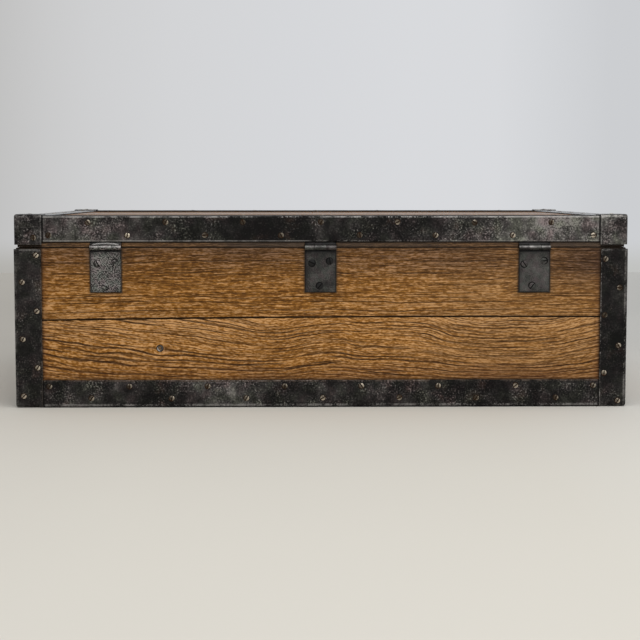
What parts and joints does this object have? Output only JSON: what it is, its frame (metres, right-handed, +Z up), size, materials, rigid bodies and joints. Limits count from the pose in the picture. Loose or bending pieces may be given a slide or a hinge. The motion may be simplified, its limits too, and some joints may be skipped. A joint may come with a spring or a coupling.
{
  "type": "storage chest",
  "caption": "Low iron-bound oak storage chest: plank walls, angle-iron edges, capped lid on rolled hinges that swings right over, box lock with keyhole, and drop handles on the ends.",
  "frame": {"origin": "on the floor, below the middle of the bounding box", "axes": "+X along the length to the right of a person in front of the chest, -Y out of the front with the lock, +Y out of the back with the hinges, +Z up"},
  "size_m": [0.786, 0.5438, 0.2379],
  "materials": {
    "oak": "old waxed oak, open grain, worn",
    "iron": "dark patinated iron, waxed, rubbed at the edges",
    "hinge_iron": "grey pitted iron",
    "brass": "dull old brass",
    "steel": "dull worn steel"
  },
  "bodies": {
    "case": {"back_lower_plank": "oak", "back_upper_plank": "oak", "front_lower_plank": "oak", "front_upper_plank": "oak", "left_lower_plank": "oak", "left_upper_plank": "oak", "right_lower_plank": "oak", "right_upper_plank": "oak", "floor_board_1": "oak", "floor_board_2": "oak", "floor_board_3": "oak", "corner_iron_front_left": "iron", "corner_iron_front_right": "iron", "corner_iron_back_left": "iron", "corner_iron_back_right": "iron", "base_iron_front": "iron", "base_iron_back": "iron", "base_iron_left": "iron", "base_iron_right": "iron", "hinge_lower_leaf_left": "hinge_iron", "hinge_lower_leaf_centre": "hinge_iron", "hinge_lower_leaf_right": "hinge_iron", "hinge_pin_left": "steel", "hinge_pin_centre": "steel", "hinge_pin_right": "steel", "lock_case": "steel", "lock_cover": "steel", "keyhole_escutcheon": "brass", "handle_plate_left": "iron", "handle_plate_right": "iron"},
    "lid": {"lid_board_1": "oak", "lid_board_2": "oak", "lid_board_3": "oak", "lid_front_rail": "oak", "lid_back_rail": "oak", "lid_left_rail": "oak", "lid_right_rail": "oak", "lid_iron_front": "iron", "lid_iron_back": "iron", "lid_iron_left": "iron", "lid_iron_right": "iron", "lid_cap_front_left": "iron", "lid_cap_front_right": "iron", "lid_cap_back_left": "iron", "lid_cap_back_right": "iron", "hinge_upper_leaf_left": "hinge_iron", "hinge_upper_leaf_centre": "hinge_iron", "hinge_upper_leaf_right": "hinge_iron", "lock_link_plate": "steel"},
    "lock_bolt": {"lock_bolt": "brass"},
    "left_bail": {"handle_bail_left": "iron"},
    "right_bail": {"handle_bail_right": "iron"}
  },
  "joints": [
    {"name": "lid_hinge", "type": "hinge", "parent": "case", "child": "lid", "pos_m": [0, 0.2688, 0.197], "axis": [-1, 0, 0], "range_deg": [0, 180]},
    {"name": "bolt_slide", "type": "slide", "parent": "case", "child": "lock_bolt", "axis": [-1, 0, 0], "range_m": [0, 0.006]},
    {"name": "left_bail_swing", "type": "hinge", "parent": "case", "child": "left_bail", "pos_m": [-0.3855, -0.0019, 0.132], "axis": [0, 1, 0], "range_deg": [0, 180]},
    {"name": "right_bail_swing", "type": "hinge", "parent": "case", "child": "right_bail", "pos_m": [0.3855, -0.0019, 0.132], "axis": [0, -1, 0], "range_deg": [0, 180]}
  ]
}
